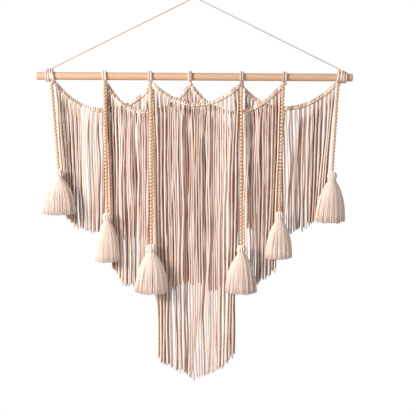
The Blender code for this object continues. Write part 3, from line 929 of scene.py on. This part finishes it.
def make_rod(material):
    """A tube on the rod's axis: full radius, rounded by a quarter circle at both ends."""
    angle = np.linspace(0, math.pi / 2, 6)
    from_end = ROD_ROUNDING * (1 - np.cos(angle))
    radius = ROD_RADIUS - ROD_ROUNDING * (1 - np.sin(angle))
    half = ROD_LENGTH / 2
    middle = np.linspace(-half + 2 * ROD_ROUNDING, half - 2 * ROD_ROUNDING, 40)
    x = np.concatenate((-half + from_end, middle, half - from_end[::-1]))
    reach = np.concatenate((radius, np.full(len(middle), ROD_RADIUS), radius[::-1]))[:, None]
    turn = 2 * math.pi * np.arange(ROD_SIDES) / ROD_SIDES
    height = rod_height(x)[:, None] + reach * np.sin(turn)
    points = np.stack(np.broadcast_arrays(x[:, None], reach * np.cos(turn), height), axis=-1)
    faces = tube_faces(1, len(x), ROD_SIDES)
    mesh = build_mesh("dowel", points.reshape(-1, 3), faces)
    add_piece(mesh, material, ["rod"])


print(f"dowel: {ROD_LENGTH} mm long, {2 * ROD_RADIUS} mm thick, {ROD_SIDES} points round")

# %% [markdown]
# ## Beech
# Beech is pale, pinkish when planed, and its grain runs along the dowel with short brown
# flecks. It could be a picture of wood, but that would show a seam round the dowel. Noise
# in object coordinates has none: it is stretched to 60 mm along the grain and 3 mm across
# for the bands, and the same noise 6 times finer gives the flecks. The pores are too fine
# to show. Sanded wood is matt with a faint gloss, and the waxed beads shine a little more.

# %% Sanded and waxed beech


def wood(name, pale, grain, fleck, place_name, streak, roughness):
    """Wood with grain streaks and small flecks, stretched along one axis.

    streak gives the pattern's size in mm along each axis of the coordinates.
    """
    material = bpy.data.materials.new(name)
    material.use_nodes = True
    tree = material.node_tree
    shader = tree.nodes["Principled BSDF"]
    place = node(tree, "TexCoord")
    size = tuple(1 / (length * MM) for length in streak)
    stretched = node(tree, "Mapping", {"Vector": place.outputs[place_name], "Scale": size})
    bands = node(tree, "TexNoise", {"Vector": stretched.outputs["Vector"], "Scale": 1.0,
                                    "Detail": 4.0, "Roughness": 0.65, "Distortion": 0.4})
    grain_share = node(tree, "MapRange", {"Value": bands.outputs["Fac"], "From Min": 0.34,
                                          "From Max": 0.72})
    mix = node(tree, "Mix", {0: grain_share.outputs["Result"], 6: linear(pale),
                             7: linear(grain)}, data_type="RGBA")
    spots = node(tree, "TexNoise", {"Vector": stretched.outputs["Vector"], "Scale": 6.0,
                                    "Detail": 1.0, "Roughness": 0.5})
    spot_share = node(tree, "MapRange", {"Value": spots.outputs["Fac"], "From Min": 0.66,
                                         "From Max": 0.78, "To Max": 0.55})
    flecked = node(tree, "Mix", {0: spot_share.outputs["Result"], 6: mix.outputs[2],
                                 7: linear(fleck)}, data_type="RGBA")
    tree.links.new(flecked.outputs[2], shader.inputs["Base Color"])
    bump = node(tree, "Bump", {"Height": bands.outputs["Fac"], "Strength": 0.25,
                               "Distance": 0.0003})
    tree.links.new(bump.outputs["Normal"], shader.inputs["Normal"])
    shader.inputs["Roughness"].default_value = roughness
    shader.inputs["IOR"].default_value = 1.5
    return material


beech = wood("beech dowel, sanded", "#DFB99E", "#CFA585", "#AE8262",
             "Object", (60.0, 3.0, 3.0), 0.55)
bead_wood = wood("turned beech beads, waxed", "#EAC09A", "#D6A67D", "#B07C56",
                 "UV", (2.2, 9.0, 1.0), 0.36)
make_rod(beech)
print("materials:", beech.name, "and", bead_wood.name)

# %% [markdown]
# ## The ties
# The carrier cords are wrapped round the rod and knotted under it. One long spiral could
# be the whole wrapping, but real turns cross and lean as they please. So each wrap is one
# turn of cord: a circle round the rod that leans, because its top and its foot lie at
# different places along the rod. Below the rod the turns draw together into a knot of
# level turns, and on the two end ties a few more wraps lie on top, over the hanging cord.

# %% Wraps round the rod
# tie, then places of the top and the foot to the right of the tie's middle, and how far the
# top stands off the rod
Wrap = namedtuple("Wrap", "tie top foot lift")
WRAPS = (
    Wrap(1, -12.2, -10.6, 0.0), Wrap(1, -6.2, -4.6, 0.0), Wrap(1, -0.6, 6.0, 0.0),
    Wrap(1, 5.6, 12.0, 0.0), Wrap(1, -7.0, -2.0, 5.0), Wrap(1, -0.6, 2.0, 5.2),
    Wrap(1, 6.0, 9.5, 4.0),
    Wrap(2, -4.1, -2.8, 0.0), Wrap(2, 2.6, 4.0, 0.0),
    Wrap(3, -3.4, -3.1, 0.0), Wrap(3, 3.1, 3.2, 0.0),
    Wrap(4, -3.0, -3.0, 0.0), Wrap(4, 3.1, 3.1, 0.0),
    Wrap(5, -3.4, -3.2, 0.0), Wrap(5, 3.2, 3.0, 0.0),
    Wrap(6, -2.4, -4.6, 0.0), Wrap(6, 4.6, 2.0, 0.0),
    Wrap(7, -9.5, -13.6, 0.0), Wrap(7, -2.0, -6.0, 0.0), Wrap(7, 5.2, 5.4, 0.0),
    Wrap(7, 13.2, 11.6, 0.0), Wrap(7, -8.0, -9.5, 4.6), Wrap(7, -1.0, 0.0, 5.4),
    Wrap(7, 6.4, 6.0, 3.6),
)
WRAP_CORD = 3.15                # radius of the cord
PRESSED = 0.2                   # how far it is pressed on to the rod
NARROW_TIE = 20.0               # ties narrower than this are drawn together under the rod


def wrap_path(wrap, points=33):
    """One turn round the rod, read off at even steps.

    x goes from the foot to the top with the height. The feet of a narrow tie are drawn
    together by up to 0.35, and the top stands off the rod by the wrap's lift.
    """
    tie = TIES[wrap.tie - 1]
    angle = np.linspace(-0.5, 1.5, 200) * math.pi
    rise = (1 + np.sin(angle)) / 2
    low = np.clip(-np.sin(angle), 0, 1) ** 4
    drawn = 1 - 0.35 * low * (tie.width < NARROW_TIE)
    x = (wrap.foot + (wrap.top - wrap.foot) * rise) * drawn
    lifted = wrap.lift * np.clip(np.sin(angle), 0, 1) ** 1.5
    reach = ROD_RADIUS + WRAP_CORD - PRESSED + lifted
    turn = np.column_stack((tie.x + x, -reach * np.cos(angle),
                            rod_height(tie.x + x) + reach * np.sin(angle)))
    arc = arc_lengths(turn[None])[0]
    return at_stations(arc, turn, np.linspace(0, arc[-1], points))


print("wraps:", len(WRAPS), "and one takes",
      round(float(arc_lengths(wrap_path(WRAPS[0])[None])[0, -1])), "mm of cord")

# %% The knot under a tie
KNOT_TURN_CORD = 3.1            # radius of the cord
KNOT_TURN_STEP = 6.0            # from one turn to the next
KNOT_TURN_RADIUS = 4.0          # radius of a turn
KNOT_CORE_CORD = 3.2


def knot_side(tie):
    """How far the knot under a tie lies to the right of the tie's middle."""
    return math.copysign(tie.width / 4 + 1.5, -tie.x) if tie.width > NARROW_TIE else 0.0


def knot_paths(tie, rng, points=34):
    """Level turns that bind the wraps together under the rod, one under the other.

    Each is a little more than a full circle that leans by its slant, with its ends tucked
    in at the back by 0.4 of its radius.
    """
    turns = int((tie.knot - ROD_RADIUS) / KNOT_TURN_STEP)
    angle = np.linspace(0.45, 2.55, points) * math.pi
    paths = []
    lowest = rod_height(tie.x) - tie.knot + KNOT_TURN_CORD
    for turn in range(turns):
        height = lowest + KNOT_TURN_STEP * (turns - 1 - turn)
        size = KNOT_TURN_RADIUS * rng.uniform(0.93, 1.08)
        slant = rng.uniform(-0.3, 0.3)
        tucked = 1 - 0.4 * np.clip(np.abs(angle / math.pi - 1.5) - 0.9, 0, 1) / 0.15
        x = size * tucked * np.cos(angle)
        y = 0.9 * size * tucked * np.sin(angle)
        paths.append(np.column_stack((tie.x + knot_side(tie) + x, y, height + slant * x)))
    return np.stack(paths)


def tie_core(tie):
    """Cords inside the knot, seen only between its turns."""
    x = tie.x + knot_side(tie)
    z = rod_height(tie.x) + np.linspace(-12.0, -tie.knot + 0.5, 6)
    return np.column_stack((np.full(6, x), np.zeros(6), z))


print("deepest knot:", max(tie.knot for tie in TIES), "mm under the rod's axis")

# %% Tails, and each tie as a whole


def tail_paths(tie, rng):
    """The tie's two loose ends, which hang straight down among the fringe.

    They start inside the knot and reach their places in the layer after a smooth step.
    """
    steps = int((max(tie.tails) - ROD_BELOW_NAIL) / RING_STEP)
    down = np.linspace(0, 1, steps)
    start = rod_height(tie.x) - tie.knot + 7.0
    paths = []
    for side, cut in zip((-1, 1), tie.tails):
        z = start + (-cut - start) * down
        settled = smooth_step((start - z) / 22.0)
        x = tie.x + side * (1.6 + 1.5 * settled) + slow_waves(start - z, 1, rng)[0] * settled
        y = -2.0 + (MIDDLE_LAYER + side * CORD_STAGGER + 2.0) * settled
        paths.append(np.column_stack((x, y, z)))
    return np.stack(paths)


def make_tie(number, tie):
    """All the cords of one tie as one mesh."""
    rng = np.random.default_rng(60 + number)
    wraps = np.stack([wrap_path(wrap) for wrap in WRAPS if wrap.tie == number])
    knots = knot_paths(tie, rng)
    parts = [
        twisted_cord(wraps, WRAP_CORD, tint=rng.uniform(0.4, 1.0, len(wraps))),
        twisted_cord(knots, KNOT_TURN_CORD, tint=rng.uniform(0.3, 1.0, len(knots))),
        twisted_cord(tie_core(tie)[None], KNOT_CORE_CORD, tint=0.2),
    ]
    if tie.tails:
        paths = tail_paths(tie, rng)
        lengths = arc_lengths(paths)
        cords, tint = cut_cords(paths, FRINGE_CORD, lengths[:, -1:] - lengths, rng)
        parts += [cords, yarn_tips(paths[:, -1], tint, rng)]
    mesh = build_mesh(f"rod_tie_{number}_cords", *joined(parts))
    add_piece(mesh, cord_cotton, [f"rod_tie_{number}"])


for number, tie in enumerate(TIES, start=1):
    make_tie(number, tie)

# %% [markdown]
# ## The bead strings
# Each string carries round beads about 10 mm across, turned from beech, with a bore for
# the string. A sphere with a hole cut through it would do for one, but there are 207 of
# them, so each has only 80 faces: a closed profile turned round its axis, whose outside is
# most of a circle and which the bore's wall closes. All beads of a string are that one
# shape moved along the string, each a little tilted and with its own stretch of grain.

# %% One bead
BEAD_RADIUS = 5.3
BEAD_BORE = 1.3                 # radius of the bore
BEAD_SIDES = 10                 # points round a bead
BEAD_STEPS = 6                  # rings down its outside


def bead_shape(half_height):
    """Rings of one bead, down its outside and back up its bore.

    Outside, r is radius * cos(a) and z is half_height * sin(a) / sin(end), with a from end
    to -end. The end is where the circle has come in to 1.5 times the bore.
    """
    end = math.acos(BEAD_BORE * 1.5 / BEAD_RADIUS)
    angle = np.linspace(end, -end, BEAD_STEPS)
    r = np.append(BEAD_RADIUS * np.cos(angle), (BEAD_BORE, BEAD_BORE))
    z = half_height * np.append(np.sin(angle) / math.sin(end), (-0.9, 0.9))
    turn = 2 * math.pi * np.arange(BEAD_SIDES) / BEAD_SIDES
    return np.stack(np.broadcast_arrays(
        r[:, None] * np.cos(turn), r[:, None] * np.sin(turn), z[:, None]), axis=-1)


def ring_faces(copies, rings, sides):
    """Quads of turned shapes whose last ring joins the first, so each is closed."""
    start = np.arange(copies)[:, None, None] * rings * sides
    ring = np.arange(rings)[None, :, None] * sides
    below = (ring + sides) % (rings * sides)
    side = np.arange(sides)
    after = (side + 1) % sides
    corners = (ring + side, below + side, below + after, ring + after)
    return np.stack([start + corner for corner in corners], axis=-1).reshape(-1, 4)


def bead_uv(shape, offset):
    """UV in mm: u runs round a bead and v down it, from each bead's own offset."""
    sides = shape.shape[1]
    around = np.arange(sides + 1) / sides * 2 * math.pi * BEAD_RADIUS
    down = np.cumsum(np.append(0.0, np.linalg.norm(np.diff(shape[:, 0], axis=0), axis=1)))
    left, right = around[None, None, :-1], around[None, None, 1:]
    upper = down[None, :, None] + offset
    lower = np.append(down[1:], down[-1] + 2.0)[None, :, None] + offset
    corners = ((left, upper), (left, lower), (right, lower), (right, upper))
    return np.stack([np.stack(np.broadcast_arrays(*pair), -1) for pair in corners],
                    axis=-2).reshape(-1, 2)


print("one bead:", len(ring_faces(1, *bead_shape(5.0).shape[:2])), "faces")

# %% The beads of a string
STRING_NECK = 2.0               # bare string under the last bead
STRING_FRONT = 12.0             # how far in front of the rod's axis a string starts
STRING_CORD = 1.05              # radius of the string
BEAD_CLOSENESS = 0.97           # share of its room along the string that a bead fills
BEAD_SMALLEST = 0.965           # the smallest bead's size against the largest's
BEAD_WANDER = 0.22              # how far beads lie beside the string's line
BEAD_TILT = 0.05                # how far they lean for each mm up
GRAIN_SHIFT = 900.0             # each bead's grain starts anywhere in this length


def string_points(tassel, low, high, shares):
    """Places along a straight string, from its tie down to its tassel."""
    x = tassel.top_x + (tassel.x - tassel.top_x) * shares
    y = -STRING_FRONT + (STRING_FRONT - tassel.front) * shares
    return np.column_stack((x, y, high + (low - high) * shares))


def make_bead_string(number, tassel, material):
    """All the beads of one string, and the string through them."""
    rng = np.random.default_rng(200 + number)
    low, high = (corner[2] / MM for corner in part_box(f"bead_string_{number}"))
    rows = np.linspace(high - tassel.neck, low + STRING_NECK, 2 * tassel.beads + 1)[1::2]
    centres = string_points(tassel, low, high, (high - rows) / (high - low))
    count = tassel.beads
    centres[:, :2] += rng.normal(0.0, BEAD_WANDER, (count, 2))
    shape = bead_shape((rows[0] - rows[1]) * BEAD_CLOSENESS / 2)
    size = rng.uniform(BEAD_SMALLEST, 1.0, (count, 1, 1, 1))
    beads = shape[None] * size
    beads[..., :2] += beads[..., 2:] * rng.normal(0.0, BEAD_TILT, (count, 1, 1, 2))
    faces = ring_faces(count, *shape.shape[:2])
    uv = bead_uv(shape, rng.uniform(0, GRAIN_SHIFT, (count, 1, 1)))
    points = (centres[:, None, None] + beads).reshape(-1, 3)
    print(f"{count} beads under tie {tassel.tie}")
    mesh = build_mesh(f"beads_{number}", points, [faces], uv)
    add_piece(mesh, material, [f"bead_string_{number}"])
    # the string goes on by a share of 0.012 at each end, into the tie and the tassel
    thread = string_points(tassel, low, high, np.linspace(-0.012, 1.012, 40))
    string = build_mesh(f"bead_thread_{number}", *twisted_cord(thread[None], STRING_CORD))
    add_piece(string, cord_cotton, [f"bead_string_{number}"])


for number, tassel in enumerate(TASSELS, start=1):
    make_bead_string(number, tassel, bead_wood)

# %% [markdown]
# ## The tassels
# A tassel is a hank of soft yarn gathered under a ball of thicker loops. The head is a
# ring of loops like the lines of longitude on a globe. The skirt is three shells of
# separate yarns, one inside the other. A plain bell under the outer two closes the view,
# and the ends of the third fill the skirt's foot below it. Hair curves could make the yarn,
# but short tubes carried as one array keep real thickness from every side and in the
# mesh itself.

# %% The head
HEAD_LOOPS = 11
HEAD_CORD = 3.1
# from the loop's start at the top of the head: distance from the axis, and depth
HEAD_LOOP = np.array(((2.2, 2.8), (6.6, 3.1), (10.2, 6.8), (11.4, 12.2), (10.5, 17.8),
                      (8.2, 22.2), (7.0, 25.6), (7.4, 29.5)))
HEAD_HEIGHT = 25.0
HEAD_SWIRL = 0.22               # turn of a loop from top to neck, in radians


def head_paths(tassel, rng):
    """Loops from the top of the head to the neck, a little swirled and uneven."""
    middle = np.array((tassel.x, -tassel.front, -tassel.top))
    turn = 2 * math.pi * np.arange(HEAD_LOOPS) / HEAD_LOOPS + rng.normal(0, 0.05, HEAD_LOOPS)
    reach = HEAD_LOOP[:, 0] * rng.uniform(0.96, 1.03, (HEAD_LOOPS, 1))
    angle = turn[:, None] + HEAD_SWIRL * HEAD_LOOP[:, 1] / HEAD_HEIGHT
    controls = np.stack(np.broadcast_arrays(
        reach * np.cos(angle), reach * np.sin(angle), -HEAD_LOOP[:, 1]), axis=-1)
    return middle + curve_through(controls, 3)


print("a head's loop:", round(float(arc_lengths(np.insert(HEAD_LOOP, 1, 0, axis=1)[None])[0, -1])),
      "mm from its top to the neck")

# %% The skirt's shape
NECK_RADIUS = 11.4
SKIRT_FRONT = 0.62              # depth to the front against half width
SKIRT_BACK = 12.0               # the back lies flat on the fringe
YARN_RADIUS = 1.05
YARN_GATHERED = 0.45            # share of that radius where yarns start at the neck
YARN_RINGS = 10
YARN_SHARES = np.linspace(0, 1, YARN_RINGS) ** 1.5
# how many yarns a shell has, and its size against the skirt's outside
SHELLS = ((128, 0.975), (104, 0.90), (60, 0.66))
CORE = 0.84                     # size of the bell, between the second shell and the third
LOCKS = 17                      # yarns lie together in this many locks
SIDES_SHORT = 7.0               # the outermost yarns lean out, so they end higher


def skirt_reach(tassel, share, scale):
    """Half width and depths of a shell at a share s of the skirt's length.

    Each grows from the neck's radius by 0.85 (1 - (1 - s) ** 2.6) + 0.15 s.
    """
    grown = 0.85 * (1 - (1 - share) ** 2.6) + 0.15 * share
    half = tassel.width / 2 * scale
    neck = (NECK_RADIUS - YARN_RADIUS) * scale
    sizes = (half, half * SKIRT_FRONT, np.minimum(half, SKIRT_BACK))
    return [neck + (size - neck) * grown for size in sizes]


def skirt_place(tassel, share, scale, angle, drop):
    """A point on a shell: an ellipse deeper in front than at the back."""
    side, front, back = skirt_reach(tassel, share, scale)
    depth = np.where(np.sin(angle) < 0, front, back)
    x = tassel.x + tassel.lean * share + side * np.cos(angle)
    y = -tassel.front + depth * np.sin(angle)
    z = -tassel.top - HEAD_HEIGHT + 0.5 - drop
    return np.stack(np.broadcast_arrays(x, y, z), axis=-1)


print("yarns in a skirt:", sum(count for count, _ in SHELLS))

# %% Yarns and the bell inside


def yarn_paths(tassel, count, scale, rng):
    """Yarns from the neck to the skirt's edge, drawn together into a few locks.

    A yarn's angle is its even share of the turn, plus half a lock's width times a sine, and
    plus a slow sway, both growing with the share of the length. Its shell swells by 0.022
    in the middle of each lock.
    """
    share = YARN_SHARES
    number = np.arange(count)[:, None] + rng.uniform(-0.4, 0.4, (count, 1))
    angle = 2 * math.pi * number / count
    lock = 0.5 * np.sin(LOCKS * angle + rng.uniform(0, 6.3)) / LOCKS
    sway = 0.02 * np.sin(5.0 * share + rng.uniform(0, 6.3, (count, 1)))
    turned = angle + (lock + sway + rng.normal(0, 0.015, (count, 1))) * share
    length = (tassel.length + 1.5 - SIDES_SHORT * np.cos(angle) ** 4
              + np.clip(rng.normal(0, 1.6, (count, 1)), -6, 4))
    bulge = 1 + 0.022 * np.sin(LOCKS * angle + 2.0) * share
    return skirt_place(tassel, share, scale * bulge, turned, length * share)


def make_skirt_core(tassel, rings=10, sides=28):
    """A closed bell inside the outer two shells, with rings clockwise as seen from above."""
    share = (np.linspace(0, 0.95, rings) ** 1.5)[:, None]
    angle = -2 * math.pi * np.arange(sides) / sides
    points = skirt_place(tassel, share, CORE, angle, tassel.length * share)
    uv = tube_uv(tassel.length * share.T, sides, 120.0)
    return points.reshape(-1, 3), tube_faces(1, rings, sides), uv, np.full(rings * sides, 0.4)


outer = yarn_paths(TASSELS[0], *SHELLS[0], np.random.default_rng(1))
print(f"the first tassel's outer yarns: {arc_lengths(outer)[:, -1].mean():.0f} mm long")

# %% Make the six tassels


def make_tassel(number, tassel):
    """Head and skirt of one tassel, as one mesh."""
    rng = np.random.default_rng(300 + number)
    head = twisted_cord(head_paths(tassel, rng), HEAD_CORD, twist=0.4, groove=0.14, sides=9,
                        tint=rng.uniform(0.4, 1.0, HEAD_LOOPS))
    parts = [head, make_skirt_core(tassel)]
    gathered = YARN_GATHERED + (1 - YARN_GATHERED) * smooth_step(YARN_SHARES / 0.25)
    for count, scale in SHELLS:
        paths = yarn_paths(tassel, count, scale, rng)
        parts.append(twisted_cord(paths, YARN_RADIUS * gathered, twist=0.0, groove=0.0,
                                  sides=4, turn=rng.uniform(0, 6.3, count),
                                  tint=rng.uniform(0, 1, count)))
    mesh = build_mesh(f"tassel_{number}_yarn", *joined(parts))
    add_piece(mesh, yarn_cotton, [f"tassel_{number}"])


for number, tassel in enumerate(TASSELS, start=1):
    make_tassel(number, tassel)
